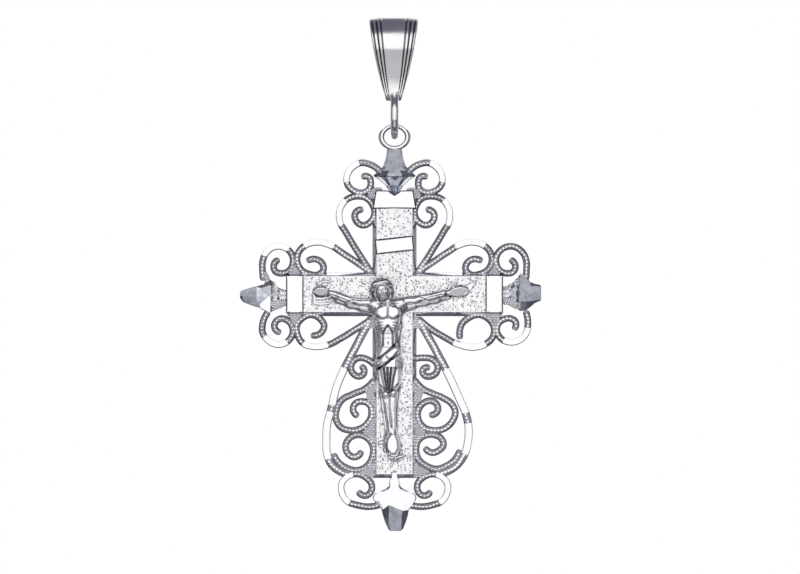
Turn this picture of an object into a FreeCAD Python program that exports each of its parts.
import FreeCAD, Part
import Sketcher
import math
import os

from FreeCAD import Placement, Rotation, Vector

# Silver filigree crucifix pendant, in millimetres.
# Frame: +Z up as it hangs, the front faces -Y, +X is the viewer's right.
# The origin is the centre of the chain passage in the bail. The pieces of the cross are drawn
# about the crossing of its two bars, which lies crossing_drop below the origin.

doc = FreeCAD.newDocument("crucifix_pendant")

# --------------------------------------------------------------------------- driving sizes
SIZES = {
    # bail: a strap bent round the chain, its two leaves joined at the tip
    "bail_outer_radius": 3.55,
    "bail_wall": 0.75,
    "bail_width": 6.6,
    "bail_tip_width": 2.0,
    "bail_tip_drop": 7.05,
    "bail_tip_radius": 0.78,
    "bail_inner_drop": 5.2,
    "ring_hole_drop": 6.75,
    "ring_hole_radius": 0.7,
    # jump ring
    "ring_radius": 2.87,
    "ring_wire_radius": 0.525,
    # the cross
    "crossing_drop": 33.9,
    "bar_width": 6.0,
    "bar_bevel": 0.65,
    "plate_thickness": 2.0,
    "plate_slab": 1.0,
    "top_reach": 13.85,
    "side_reach": 14.5,
    "bottom_reach": 24.85,
    "end_plate_thickness": 0.22,
    "end_plate_depth": 1.75,
    "titulus_width": 4.2,
    "titulus_height": 1.75,
    "titulus_thickness": 0.35,
    "titulus_height_above": 6.6,
    "titulus_tilt": 6.4,
    # suspension loop
    "loop_height_above": 21.2,
    "loop_rim_width": 1.96,
    "loop_rim_height": 1.72,
    "loop_middle_width": 2.2,
    "loop_middle_height": 1.8,
    "loop_hole_width": 1.485,
    "loop_hole_height": 1.28,
    "loop_depth": 1.4,
    # finials
    "finial_half_depth": 1.0,
    "finial_neck": 0.8,
    "left_length": 6.4,
    "left_shoulder": 2.6,
    "left_point": 2.7,
    "left_tip": 0.75,
    "right_length": 5.3,
    "right_shoulder": 2.7,
    "right_point": 2.8,
    "right_tip": 1.1,
    "bottom_length": 7.2,
    "bottom_shoulder": 2.65,
    "bottom_point": 2.95,
    "bottom_tip": 0.9,
    "top_length": 5.75,
    "top_shoulder": 2.1,
    "top_point": 2.75,
    "top_tip": 0.92,
    # filigree scrolls
    "wire_width": 0.92,
    "wire_depth": 1.1,
    "frame_width": 1.1,
    # figure
    "figure_depth": 1.0,
    "limb_radius": 0.55,
    "foot_rest_width": 3.0,
    "foot_rest_height": 2.0,
}

sheet = doc.addObject("Spreadsheet::Sheet", "sizes")
for row, (alias, value) in enumerate(SIZES.items(), start=1):
    sheet.set(f"A{row}", alias)
    sheet.set(f"B{row}", str(value))
    sheet.setAlias(f"B{row}", alias)
doc.recompute()

FACING_FRONT = Rotation(Vector(1, 0, 0), 90)
pieces = []


def bind(item, **expressions):
    """Tie properties of an object to the sheet; double underscores stand for dots."""
    for name, expression in expressions.items():
        item.setExpression(name.replace("__", "."), expression)


def hang_on_cross(item, x="0", depth="0", z="0"):
    """Place an object relative to the crossing of the bars."""
    bind(
        item,
        Placement__Base__x=x,
        Placement__Base__y=depth,
        Placement__Base__z=f"{z} - sizes.crossing_drop",
    )


def finish(item, label):
    item.Label = label
    pieces.append(item)
    return item


def fuse(name, shapes):
    joined = doc.addObject("Part::MultiFuse", name)
    joined.Shapes = shapes
    joined.Refine = True
    return joined


def cut(name, base, tool):
    result = doc.addObject("Part::Cut", name)
    result.Base = base
    result.Tool = tool
    return result


# --------------------------------------------------------------------------- sketch helpers
def origin_plane(body, role):
    return next(feature for feature in body.Origin.OriginFeatures if feature.Role == role)


def new_sketch(body, role, name):
    sketch = body.newObject("Sketcher::SketchObject", name)
    sketch.AttachmentSupport = (origin_plane(body, role), [""])
    sketch.MapMode = "FlatFace"
    return sketch


def constrain(sketch, *arguments, expression=None):
    index = sketch.addConstraint(Sketcher.Constraint(*arguments))
    if expression:
        sketch.setExpression(f"Constraints[{index}]", expression)


def tapered_slot(sketch, top_radius, bottom_radius, drop):
    """Outline of two circles joined by tangents: the upper one is centred on the origin."""
    big, small = SIZES["bail_outer_radius"], SIZES["bail_tip_radius"]
    below = Vector(0, -SIZES["bail_tip_drop"], 0)
    top = Part.ArcOfCircle(Part.Circle(Vector(), Vector(0, 0, 1), big), 0, math.pi)
    bottom = Part.ArcOfCircle(Part.Circle(below, Vector(0, 0, 1), small), math.pi, 2 * math.pi)
    left = Part.LineSegment(Vector(-big, 0, 0), below + Vector(-small, 0, 0))
    right = Part.LineSegment(below + Vector(small, 0, 0), Vector(big, 0, 0))
    for edge in (top, left, bottom, right):
        sketch.addGeometry(edge, False)
    constrain(sketch, "Coincident", 0, 3, -1, 1)
    constrain(sketch, "PointOnObject", 2, 3, -2)
    constrain(sketch, "Tangent", 0, 2, 1, 1)
    constrain(sketch, "Tangent", 1, 2, 2, 1)
    constrain(sketch, "Tangent", 2, 2, 3, 1)
    constrain(sketch, "Tangent", 3, 2, 0, 1)
    constrain(sketch, "Radius", 0, big, expression=top_radius)
    constrain(sketch, "Radius", 2, small, expression=bottom_radius)
    constrain(sketch, "DistanceY", 2, 3, -1, 1, -below.y, expression=drop)


def lozenge(sketch, half_width, half_depth):
    """A rhombus with its corners on the sketch axes."""
    corners = [Vector(2, 0, 0), Vector(0, 1, 0), Vector(-2, 0, 0), Vector(0, -1, 0)]
    for start, end in zip(corners, corners[1:] + corners[:1]):
        sketch.addGeometry(Part.LineSegment(start, end), False)
    for line in range(4):
        constrain(sketch, "Coincident", line, 2, (line + 1) % 4, 1)
    for line, axis in ((0, -1), (1, -2), (2, -1), (3, -2)):
        constrain(sketch, "PointOnObject", line, 1, axis)
    constrain(sketch, "DistanceX", -1, 1, 0, 1, 2.0, expression=half_width)
    constrain(sketch, "DistanceY", -1, 1, 1, 1, 1.0, expression=half_depth)
    constrain(sketch, "DistanceX", 2, 1, -1, 1, 2.0, expression=half_width)
    constrain(sketch, "DistanceY", 3, 1, -1, 1, 1.0, expression=half_depth)


# --------------------------------------------------------------------------- bail and ring
def make_bail():
    body = doc.addObject("PartDesign::Body", "BailBody")

    outline = new_sketch(body, "YZ_Plane", "BailOutline")
    tapered_slot(outline, "sizes.bail_outer_radius", "sizes.bail_tip_radius", "sizes.bail_tip_drop")
    strap = body.newObject("PartDesign::Pad", "BailStrap")
    strap.Profile = outline
    strap.Midplane = True
    bind(strap, Length="sizes.bail_width")

    passage = new_sketch(body, "YZ_Plane", "ChainPassage")
    tapered_slot(
        passage,
        "sizes.bail_outer_radius - sizes.bail_wall",
        "sizes.bail_wall / 3",
        "sizes.bail_inner_drop",
    )
    opening = body.newObject("PartDesign::Pocket", "ChainOpening")
    opening.Profile = passage
    opening.Midplane = True
    opening.Type = "ThroughAll"

    eye = new_sketch(body, "XZ_Plane", "RingEye")
    eye.addGeometry(Part.Circle(Vector(0, -7, 0), Vector(0, 0, 1), 0.6), False)
    constrain(eye, "PointOnObject", 0, 3, -2)
    constrain(eye, "DistanceY", 0, 3, -1, 1, 7.0, expression="sizes.ring_hole_drop")
    constrain(eye, "Radius", 0, 0.6, expression="sizes.ring_hole_radius")
    hole = body.newObject("PartDesign::Pocket", "RingHole")
    hole.Profile = eye
    hole.Midplane = True
    hole.Type = "ThroughAll"

    taper = doc.addObject("Part::Wedge", "BailTaper")
    taper.Placement = Placement(Vector(), Rotation(Vector(1, 0, 0), -90))
    bind(
        taper,
        Xmin="-sizes.bail_width / 2",
        Xmax="sizes.bail_width / 2",
        X2min="-sizes.bail_tip_width / 2",
        X2max="sizes.bail_tip_width / 2",
        Ymin="-sizes.bail_outer_radius",
        Ymax="sizes.bail_tip_drop + sizes.bail_tip_radius",
        Zmin="-sizes.bail_outer_radius",
        Zmax="sizes.bail_outer_radius",
        Z2min="-sizes.bail_outer_radius",
        Z2max="sizes.bail_outer_radius",
    )
    bail = doc.addObject("Part::Common", "Bail")
    bail.Base = body
    bail.Tool = taper
    return finish(bail, "bail")


def make_jump_ring():
    ring = doc.addObject("Part::Torus", "JumpRing")
    bind(ring, Radius1="sizes.ring_radius", Radius2="sizes.ring_wire_radius")
    ring.Placement = Placement(Vector(), Rotation(Vector(0, 1, 0), 90))
    bind(ring, Placement__Base__z="-sizes.ring_hole_drop - sizes.ring_radius")
    return finish(ring, "jump_ring")


# --------------------------------------------------------------------------- loop
def oval(name, half_width, half_height, depth):
    curve = doc.addObject("Part::Ellipse", name)
    curve.Placement = Placement(Vector(), FACING_FRONT)
    bind(curve, MajorRadius=half_width, MinorRadius=half_height, Placement__Base__y=depth)
    return curve


def make_top_loop():
    rims = [
        oval("LoopBack", "sizes.loop_rim_width", "sizes.loop_rim_height", "sizes.loop_depth / 2"),
        oval("LoopMiddle", "sizes.loop_middle_width", "sizes.loop_middle_height", "0"),
        oval("LoopFront", "sizes.loop_rim_width", "sizes.loop_rim_height", "-sizes.loop_depth / 2"),
    ]
    barrel = doc.addObject("Part::Loft", "LoopBarrel")
    barrel.Sections = rims
    barrel.Solid = True
    barrel.Ruled = True

    mouth = oval("LoopMouth", "sizes.loop_hole_width", "sizes.loop_hole_height", "sizes.loop_depth")
    hole = doc.addObject("Part::Extrusion", "LoopHole")
    hole.Base = mouth
    hole.DirMode = "Custom"
    hole.Dir = Vector(0, -1, 0)
    hole.Solid = True
    bind(hole, LengthFwd="sizes.loop_depth * 2")

    loop = cut("TopLoop", barrel, hole)
    hang_on_cross(loop, z="sizes.loop_height_above")
    return finish(loop, "top_loop")


# --------------------------------------------------------------------------- plate and bands
def bevelled_block(name, left, right, bottom, top, front, back, bevel):
    """A block whose front face, toward -Y, is smaller all round by the bevel."""
    block = doc.addObject("Part::Wedge", name)
    bind(
        block,
        Xmin=f"{left} + {bevel}",
        Xmax=f"{right} - {bevel}",
        Zmin=f"{bottom} + {bevel}",
        Zmax=f"{top} - {bevel}",
        X2min=left,
        X2max=right,
        Z2min=bottom,
        Z2max=top,
        Ymin=front,
        Ymax=back,
    )
    return block


def slab(name, left, right, bottom, top, front, back):
    box = doc.addObject("Part::Box", name)
    bind(
        box,
        Length=f"{right} - ({left})",
        Width=f"{back} - ({front})",
        Height=f"{top} - ({bottom})",
        Placement__Base__x=left,
        Placement__Base__y=front,
        Placement__Base__z=bottom,
    )
    return box


def make_cross_plate():
    half = "sizes.bar_width / 2"
    bars = {
        "Upright": (f"-{half}", half, "-sizes.bottom_reach", "sizes.top_reach"),
        "Crossbar": ("-sizes.side_reach", "sizes.side_reach", f"-{half}", half),
    }
    blocks = []
    for name, edges in bars.items():
        middle = "sizes.plate_thickness / 2 - sizes.plate_slab"
        front, back = "-sizes.plate_thickness / 2", "sizes.plate_thickness / 2"
        blocks.append(bevelled_block(f"{name}Face", *edges, front, middle, "sizes.bar_bevel"))
        blocks.append(slab(f"{name}Back", *edges, middle, back))
    plate = fuse("CrossPlate", blocks)
    hang_on_cross(plate)
    return finish(plate, "cross_plate")


def make_end_plates():
    """Thin polished plates soldered on the front at three ends of the bars."""
    half = "sizes.bar_width / 2 - sizes.bar_bevel"
    front = "-sizes.plate_thickness / 2 - sizes.end_plate_thickness"
    back = "-sizes.plate_thickness / 2"
    top_end = "sizes.top_reach - sizes.bar_bevel"
    side_end = "sizes.side_reach - sizes.bar_bevel"
    edges = {
        "end_plate_top": (f"-({half})", half, f"{top_end} - sizes.end_plate_depth", top_end),
        "end_plate_left": (
            f"-({side_end})", f"-({side_end}) + sizes.end_plate_depth", f"-({half})", half,
        ),
        "end_plate_right": (f"{side_end} - sizes.end_plate_depth", side_end, f"-({half})", half),
    }
    for label, extent in edges.items():
        band = bevelled_block(label.title(), *extent, front, back, "sizes.end_plate_thickness / 2")
        hang_on_cross(band)
        finish(band, label)


def make_titulus():
    """The tilted strip above the head, left blank."""
    strip = doc.addObject("Part::Box", "Titulus")
    bind(
        strip,
        Length="sizes.titulus_width",
        Width="sizes.titulus_thickness",
        Height="sizes.titulus_height",
    )
    tilt = "sizes.titulus_tilt"
    bind(strip, Placement__Rotation__Angle=f"-{tilt}")
    strip.Placement = Placement(Vector(), Rotation(Vector(0, 1, 0), -SIZES["titulus_tilt"]))
    hang_on_cross(
        strip,
        x=f"-(sizes.titulus_width * cos({tilt}) - sizes.titulus_height * sin({tilt})) / 2",
        depth="-sizes.plate_thickness / 2 - sizes.titulus_thickness",
        z=(
            "sizes.titulus_height_above"
            f" - (sizes.titulus_width * sin({tilt}) + sizes.titulus_height * cos({tilt})) / 2"
        ),
    )
    return finish(strip, "titulus")


# --------------------------------------------------------------------------- finials
# Share of the way from the bar to the widest point, and share of the widest half width.
FLARE = ((0.0, 0.28, 0.7), (0.45, 0.30, 0.75), (0.78, 0.62, 0.9), (1.0, 1.0, 1.0))
# Share of the way from the widest point to the tip, and share of the fall to the tip width.
NARROWING = ((0.2, 0.42, 0.95), (0.42, 0.68, 0.85), (1.0, 1.0, 0.55))


def make_finial(end, turn, x="0", z="0"):
    """A faceted spear with concave shoulders, drawn along its axis and turned to its place."""
    body = doc.addObject("PartDesign::Body", f"Finial{end.title()}Body")
    sections = []
    for along, width, depth in FLARE:
        sections.append((
            f"sizes.{end}_shoulder * {along}",
            f"sizes.{end}_point * {width}",
            f"sizes.finial_half_depth * {depth}",
        ))
    for along, fall, depth in NARROWING:
        sections.append((
            f"sizes.{end}_shoulder + (sizes.{end}_length - sizes.{end}_shoulder) * {along}",
            f"sizes.{end}_point - (sizes.{end}_point - sizes.{end}_tip) * {fall}",
            f"sizes.finial_half_depth * {depth}",
        ))
    sketches = []
    for index, (distance, half_width, half_depth) in enumerate(sections):
        sketch = new_sketch(body, "XY_Plane", f"{end.title()}Section{index}")
        bind(sketch, AttachmentOffset__Base__z=distance)
        lozenge(sketch, half_width, half_depth)
        sketches.append(sketch)
    loft = body.newObject("PartDesign::AdditiveLoft", f"{end.title()}Spear")
    loft.Profile = sketches[0]
    loft.Sections = sketches[1:]
    loft.Ruled = True
    body.Placement = Placement(Vector(), turn)
    hang_on_cross(body, x=x, z=z)
    return finish(body, f"finial_{end}")


# --------------------------------------------------------------------------- figure
def ellipsoid(name, x, depth, z, half_width, half_depth, half_height):
    solid = doc.addObject("Part::Ellipsoid", name)
    solid.Angle1 = -90
    solid.Angle2 = 90
    bind(
        solid,
        Radius1=str(half_height),
        Radius2=str(half_width),
        Radius3=f"sizes.figure_depth * {half_depth}",
        Placement__Base__x=str(x),
        Placement__Base__y=f"-sizes.plate_thickness / 2 - {depth}",
        Placement__Base__z=str(z),
    )
    return solid


def limb(name, start, end, start_share, end_share):
    """A tapering limb with round ends between two joints given as x, depth and z."""
    joints = []
    for place, share in ((start, start_share), (end, end_share)):
        ball = doc.addObject("Part::Sphere", f"{name}Joint")
        bind(
            ball,
            Radius=f"sizes.limb_radius * {share}",
            Placement__Base__y=f"-sizes.plate_thickness / 2 - {place[1]}",
        )
        ball.Placement.Base.x = place[0]
        ball.Placement.Base.z = place[2]
        joints.append(ball)
    first = Vector(start[0], -start[1], start[2])
    run = Vector(end[0], -end[1], end[2]) - first
    shaft = doc.addObject("Part::Cone", f"{name}Shaft")
    shaft.Placement = Placement(first, Rotation(Vector(0, 0, 1), run))
    shaft.Height = run.Length
    bind(
        shaft,
        Radius1=f"sizes.limb_radius * {start_share}",
        Radius2=f"sizes.limb_radius * {end_share}",
        Placement__Base__y=f"-sizes.plate_thickness / 2 - {start[1]}",
    )
    return [shaft] + joints


def make_corpus():
    """The figure: head bowed to its right, arms along the crossbar, cloth at the hips."""
    flesh = [
        ellipsoid("Head", -1.7, 1.35, 0.8, 1.3, 1.3, 1.6),
        ellipsoid("Chest", -0.85, 0.85, -2.6, 1.6, 1.2, 2.3),
        ellipsoid("Belly", -0.75, 0.8, -5.6, 1.2, 1.05, 2.4),
        ellipsoid("Cloth", -0.7, 0.85, -8.6, 1.75, 1.25, 1.9),
        ellipsoid("ClothKnot", 0.3, 0.9, -8.9, 0.6, 0.9, 1.2),
        ellipsoid("Feet", -0.3, 0.9, -19.6, 1.05, 0.9, 1.8),
    ]
    flesh += limb("NeckAndShoulder", (-1.5, 1.0, -0.3), (-0.9, 0.9, -1.6), 1.4, 1.8)
    flesh += limb("LeftUpperArm", (-2.2, 0.75, -1.4), (-6.0, 0.5, -0.7), 1.25, 0.95)
    flesh += limb("LeftForearm", (-6.0, 0.5, -0.7), (-8.8, 0.5, 0.3), 0.95, 0.7)
    flesh += limb("LeftHand", (-8.8, 0.5, 0.3), (-10.4, 0.55, 0.35), 0.8, 1.3)
    flesh += limb("RightUpperArm", (0.6, 0.75, -1.2), (4.1, 0.5, -0.6), 1.25, 0.95)
    flesh += limb("RightForearm", (4.1, 0.5, -0.6), (7.2, 0.5, 0.0), 0.95, 0.7)
    flesh += limb("RightHand", (7.2, 0.5, 0.0), (9.3, 0.55, 0.5), 0.8, 1.1)
    flesh += limb("LeftLeg", (-1.2, 0.9, -9.6), (-1.2, 1.2, -13.6), 1.6, 1.45)
    flesh += limb("LeftShin", (-1.2, 1.2, -13.6), (-0.7, 0.7, -18.6), 1.45, 0.85)
    flesh += limb("RightLeg", (-0.2, 0.9, -9.6), (-0.4, 1.2, -13.4), 1.5, 1.35)
    flesh += limb("RightShin", (-0.4, 1.2, -13.4), (-0.2, 0.7, -18.6), 1.35, 0.85)
    figure = fuse("Corpus", flesh)
    hang_on_cross(figure)
    return finish(figure, "corpus")


def make_foot_rest():
    """A low half dome under the feet, its flat side on the plate."""
    rest = doc.addObject("Part::Ellipsoid", "FootRest")
    rest.Angle1 = -90
    rest.Angle2 = 90
    rest.Angle3 = 180
    rest.Placement = Placement(Vector(), Rotation(Vector(0, 0, 1), 180))
    bind(
        rest,
        Radius1="sizes.foot_rest_height / 2",
        Radius2="sizes.foot_rest_width / 2",
        Radius3="sizes.figure_depth * 0.6",
    )
    hang_on_cross(rest, x="-0.2", depth="-sizes.plate_thickness / 2", z="-22.1")
    return finish(rest, "foot_rest")


# --------------------------------------------------------------------------- scrolls
# Each scroll follows its centre line through these points, x and z from the crossing,
# starting at the end that is soldered to the cross or to the frame.
MIRRORED_SCROLLS = {
    "top_small_scroll": [
        (2.1, 16.7), (3.3, 17.5), (4.6, 17.7), (5.7, 17.1), (6.4, 16.0), (6.3, 14.7),
        (5.4, 13.9), (4.3, 13.7), (3.4, 14.2), (3.2, 15.0), (3.5, 15.8), (4.1, 15.9),
    ],
    "top_long_scroll": [
        (3.2, 3.0), (5.1, 5.9), (6.5, 8.2), (7.4, 9.9), (7.3, 11.6), (6.4, 12.8), (5.1, 13.2),
        (3.7, 12.9), (2.9, 11.9), (2.7, 10.8), (3.2, 9.8), (4.3, 9.3), (5.2, 9.9), (5.3, 10.9),
        (4.6, 11.4),
    ],
    "arm_upper_curl": [
        (17.6, 1.8), (17.8, 3.0), (17.8, 4.4), (17.3, 5.6), (16.1, 6.4), (14.9, 6.3),
        (13.9, 5.4), (13.7, 4.3), (14.2, 3.2), (15.2, 2.8), (16.1, 3.1), (16.3, 3.9),
        (15.9, 4.5),
    ],
    "arm_upper_scroll": [
        (3.3, 3.0), (5.3, 4.4), (7.1, 5.6), (8.7, 6.6), (10.5, 7.0), (12.0, 6.6), (13.0, 5.5),
        (13.1, 4.2), (12.5, 3.2), (11.5, 2.7), (10.4, 2.6), (9.6, 3.3), (9.8, 4.2), (10.6, 4.7),
        (11.5, 4.6),
    ],
    "base_scroll": [
        (2.2, -28.5), (3.6, -28.7), (5.0, -28.5), (6.3, -28.0), (7.1, -26.8), (7.1, -25.5),
        (6.3, -24.6), (5.0, -24.3), (3.8, -24.8), (3.1, -25.7), (3.2, -26.7), (3.9, -27.2),
        (4.7, -26.9),
    ],
}
SINGLE_SCROLLS = {
    "arm_lower_curl_left": [
        (-17.2, -2.6), (-17.8, -4.0), (-17.8, -5.2), (-17.1, -6.2), (-15.9, -6.8), (-14.6, -6.5),
        (-13.8, -5.5), (-13.8, -4.4), (-14.4, -3.6), (-15.3, -3.3), (-16.0, -3.7), (-16.2, -4.5),
        (-15.7, -5.1),
    ],
    "arm_lower_curl_right": [
        (17.8, -2.6), (18.0, -4.0), (17.8, -5.2), (16.9, -6.2), (15.7, -6.5), (14.5, -6.1),
        (13.8, -5.0), (14.0, -4.0), (14.8, -3.4), (15.7, -3.3), (16.3, -3.7), (16.3, -4.5),
    ],
    "arm_lower_scroll_left": [
        (-3.4, -3.6), (-5.3, -4.8), (-7.1, -5.9), (-8.8, -6.8), (-10.8, -7.1), (-12.4, -6.6),
        (-13.1, -5.5), (-13.2, -4.3), (-12.5, -3.3), (-11.3, -2.8), (-10.1, -3.3), (-9.5, -4.3),
        (-9.9, -5.2), (-10.9, -5.6),
    ],
    "arm_lower_scroll_right": [
        (3.4, -3.5), (4.9, -4.7), (6.7, -5.8), (8.6, -6.8), (10.6, -7.2), (12.2, -6.8),
        (13.3, -5.7), (13.4, -4.4), (12.6, -3.3), (11.3, -2.8), (9.9, -3.3), (9.0, -4.2),
        (8.8, -5.0), (8.8, -5.7),
    ],
    "skirt_scroll_upper_left": [
        (-2.9, -9.4), (-3.7, -8.8), (-4.7, -8.6), (-5.5, -9.0), (-5.9, -9.9), (-5.5, -10.8),
        (-4.7, -11.1), (-4.1, -10.6), (-4.3, -9.9),
    ],
    "skirt_scroll_upper_right": [
        (2.9, -8.7), (4.0, -8.6), (5.1, -8.8), (5.8, -9.6), (5.7, -10.5), (4.9, -11.1),
        (4.1, -11.0), (3.8, -10.3), (4.4, -9.9),
    ],
    "skirt_scroll_middle_left": [
        (-2.9, -11.8), (-4.0, -12.8), (-5.6, -13.5), (-7.0, -14.2), (-7.8, -15.5), (-7.9, -16.9),
        (-7.2, -18.0), (-6.0, -18.4), (-4.7, -18.2), (-3.6, -17.4), (-3.1, -16.1), (-3.4, -14.9),
        (-4.4, -14.5), (-5.3, -14.8), (-5.6, -15.6), (-5.2, -16.3),
    ],
    "skirt_scroll_middle_right": [
        (2.8, -11.7), (3.7, -12.7), (5.1, -13.4), (6.5, -14.0), (7.7, -14.8), (8.2, -16.0),
        (7.8, -17.2), (6.6, -18.2), (5.2, -18.4), (4.0, -18.0), (3.2, -16.9), (3.2, -15.7),
        (3.8, -14.8), (4.9, -14.4), (5.7, -14.9), (5.8, -15.8), (5.1, -16.3),
    ],
    "skirt_scroll_lower_left": [
        (-8.1, -21.9), (-7.5, -22.8), (-6.4, -23.5), (-5.1, -23.8), (-3.7, -23.2), (-3.0, -22.0),
        (-2.9, -20.6), (-3.6, -19.5), (-4.8, -19.0), (-6.0, -19.4), (-6.6, -20.4), (-6.3, -21.5),
        (-5.3, -22.0), (-4.6, -21.5),
    ],
    "skirt_scroll_lower_right": [
        (8.7, -21.4), (8.1, -22.4), (7.0, -23.2), (5.7, -23.6), (4.3, -23.2), (3.2, -22.2),
        (2.9, -21.0), (3.2, -19.8), (4.1, -19.1), (5.3, -19.0), (6.3, -19.5), (6.6, -20.4),
        (6.0, -21.1), (5.1, -21.4), (4.3, -21.0),
    ],
}
SKIRT_FRAMES = {
    "skirt_frame_left": [
        (-3.3, -3.5), (-4.5, -5.7), (-5.7, -8.0), (-6.8, -10.1), (-7.6, -11.9), (-8.6, -15.7),
        (-9.1, -17.7), (-9.2, -19.7), (-9.1, -21.5), (-8.5, -23.0), (-7.4, -23.9), (-5.9, -24.3),
    ],
    "skirt_frame_right": [
        (3.3, -3.6), (4.7, -6.0), (5.9, -8.2), (7.0, -10.3), (8.8, -14.2), (9.6, -16.1),
        (10.0, -18.1), (9.9, -20.0), (9.4, -21.7), (8.5, -23.0), (7.2, -23.9), (5.7, -24.3),
    ],
}


def tangent_at(before, here, after):
    """Direction, at the middle point, of the circle through three points."""
    first, second = here - before, after - here
    return (first / first.Length * second.Length + second / second.Length * first.Length).normalize()


def arc_from(start, heading, end):
    """The arc that leaves start along heading and reaches end."""
    chord = end - start
    across = Vector(-heading.y, heading.x, 0)
    swing = math.atan2(chord.dot(across), chord.dot(heading))
    if abs(swing) < 1e-4:
        return Part.LineSegment(start, end)
    bulge = Vector(chord.y, -chord.x, 0) * (math.tan(swing / 2) / 2)
    return Part.Arc(start, (start + end) / 2 + bulge, end)


def smooth_arcs(points):
    """Arcs through the points, each meeting the next along a common tangent."""
    places = [Vector(x, z, 0) for x, z in points]
    headings = [tangent_at(*places[i - 1:i + 2]) for i in range(1, len(places) - 1)]
    for end, near, inner in ((0, 1, headings[0]), (len(places), -2, headings[-1])):
        chord = (places[1] - places[0]) if end == 0 else (places[-1] - places[-2])
        direction = chord / chord.Length
        headings.insert(end, (direction * 2 * direction.dot(inner) - inner).normalize())
    arcs = []
    for i in range(len(places) - 1):
        start, end = places[i], places[i + 1]
        leave, arrive = headings[i], headings[i + 1]
        chord, both = end - start, leave + arrive
        bend = 1 - leave.dot(arrive)
        along = chord.dot(both)
        if bend < 1e-6:
            reach = chord.dot(chord) / (2 * along)
        else:
            reach = (math.sqrt(along ** 2 + 2 * bend * chord.dot(chord)) - along) / (2 * bend)
        middle = (start + end) / 2 + (leave - arrive) * (reach / 2)
        arcs.append(arc_from(start, leave, middle))
        closing = arc_from(end, arrive * -1, middle)
        if isinstance(closing, Part.LineSegment):
            arcs.append(Part.LineSegment(middle, end))
        else:
            halfway = closing.value((closing.FirstParameter + closing.LastParameter) / 2)
            arcs.append(Part.Arc(middle, halfway, end))
    return arcs


def make_scroll(label, points, width="sizes.wire_width"):
    """Flat filigree wire standing on edge, with round ends."""
    line = doc.addObject("Sketcher::SketchObject", f"{label}_line")
    line.addGeometry(smooth_arcs(points), False)
    line.Placement = Placement(Vector(), FACING_FRONT)
    bind(line, Placement__Base__y="sizes.wire_depth / 2")
    ribbon = doc.addObject("Part::Offset2D", f"{label}_ribbon")
    ribbon.Source = line
    ribbon.Mode = "Pipe"
    bind(ribbon, Value=f"{width} / 2")
    wire = doc.addObject("Part::Extrusion", f"{label}_wire")
    wire.Base = ribbon
    wire.DirMode = "Custom"
    wire.Dir = Vector(0, -1, 0)
    wire.Solid = True
    bind(wire, LengthFwd="sizes.wire_depth")
    hang_on_cross(wire)
    return finish(wire, label)


def make_scrolls():
    for name, points in MIRRORED_SCROLLS.items():
        make_scroll(f"{name}_left", [(-x, z) for x, z in points])
        make_scroll(f"{name}_right", points)
    for label, points in SINGLE_SCROLLS.items():
        make_scroll(label, points)
    for label, points in SKIRT_FRAMES.items():
        make_scroll(label, points, width="sizes.frame_width")


# --------------------------------------------------------------------------- build and export
def build():
    make_bail()
    make_jump_ring()
    make_top_loop()
    make_cross_plate()
    make_end_plates()
    make_titulus()
    make_finial("left", Rotation(Vector(0, 1, 0), -90), x="-sizes.side_reach")
    make_finial("right", Rotation(Vector(0, 1, 0), 90), x="sizes.side_reach")
    make_finial("bottom", Rotation(Vector(1, 0, 0), 180), z="-sizes.bottom_reach")
    make_finial("top", Rotation(), z="sizes.top_reach")
    make_corpus()
    make_foot_rest()
    make_scrolls()
    doc.recompute()


def export():
    os.makedirs("parts", exist_ok=True)
    for item in doc.Objects:
        if "Invalid" in item.State or "Error" in item.State:
            raise RuntimeError(f"{item.Label}: {item.State}")
    for piece in pieces:
        if piece.Shape.isNull() or not piece.Shape.isValid():
            raise RuntimeError(f"{piece.Label} has no valid shape")
        piece.Shape.exportStep(f"parts/{piece.Label}.step")


build()
export()
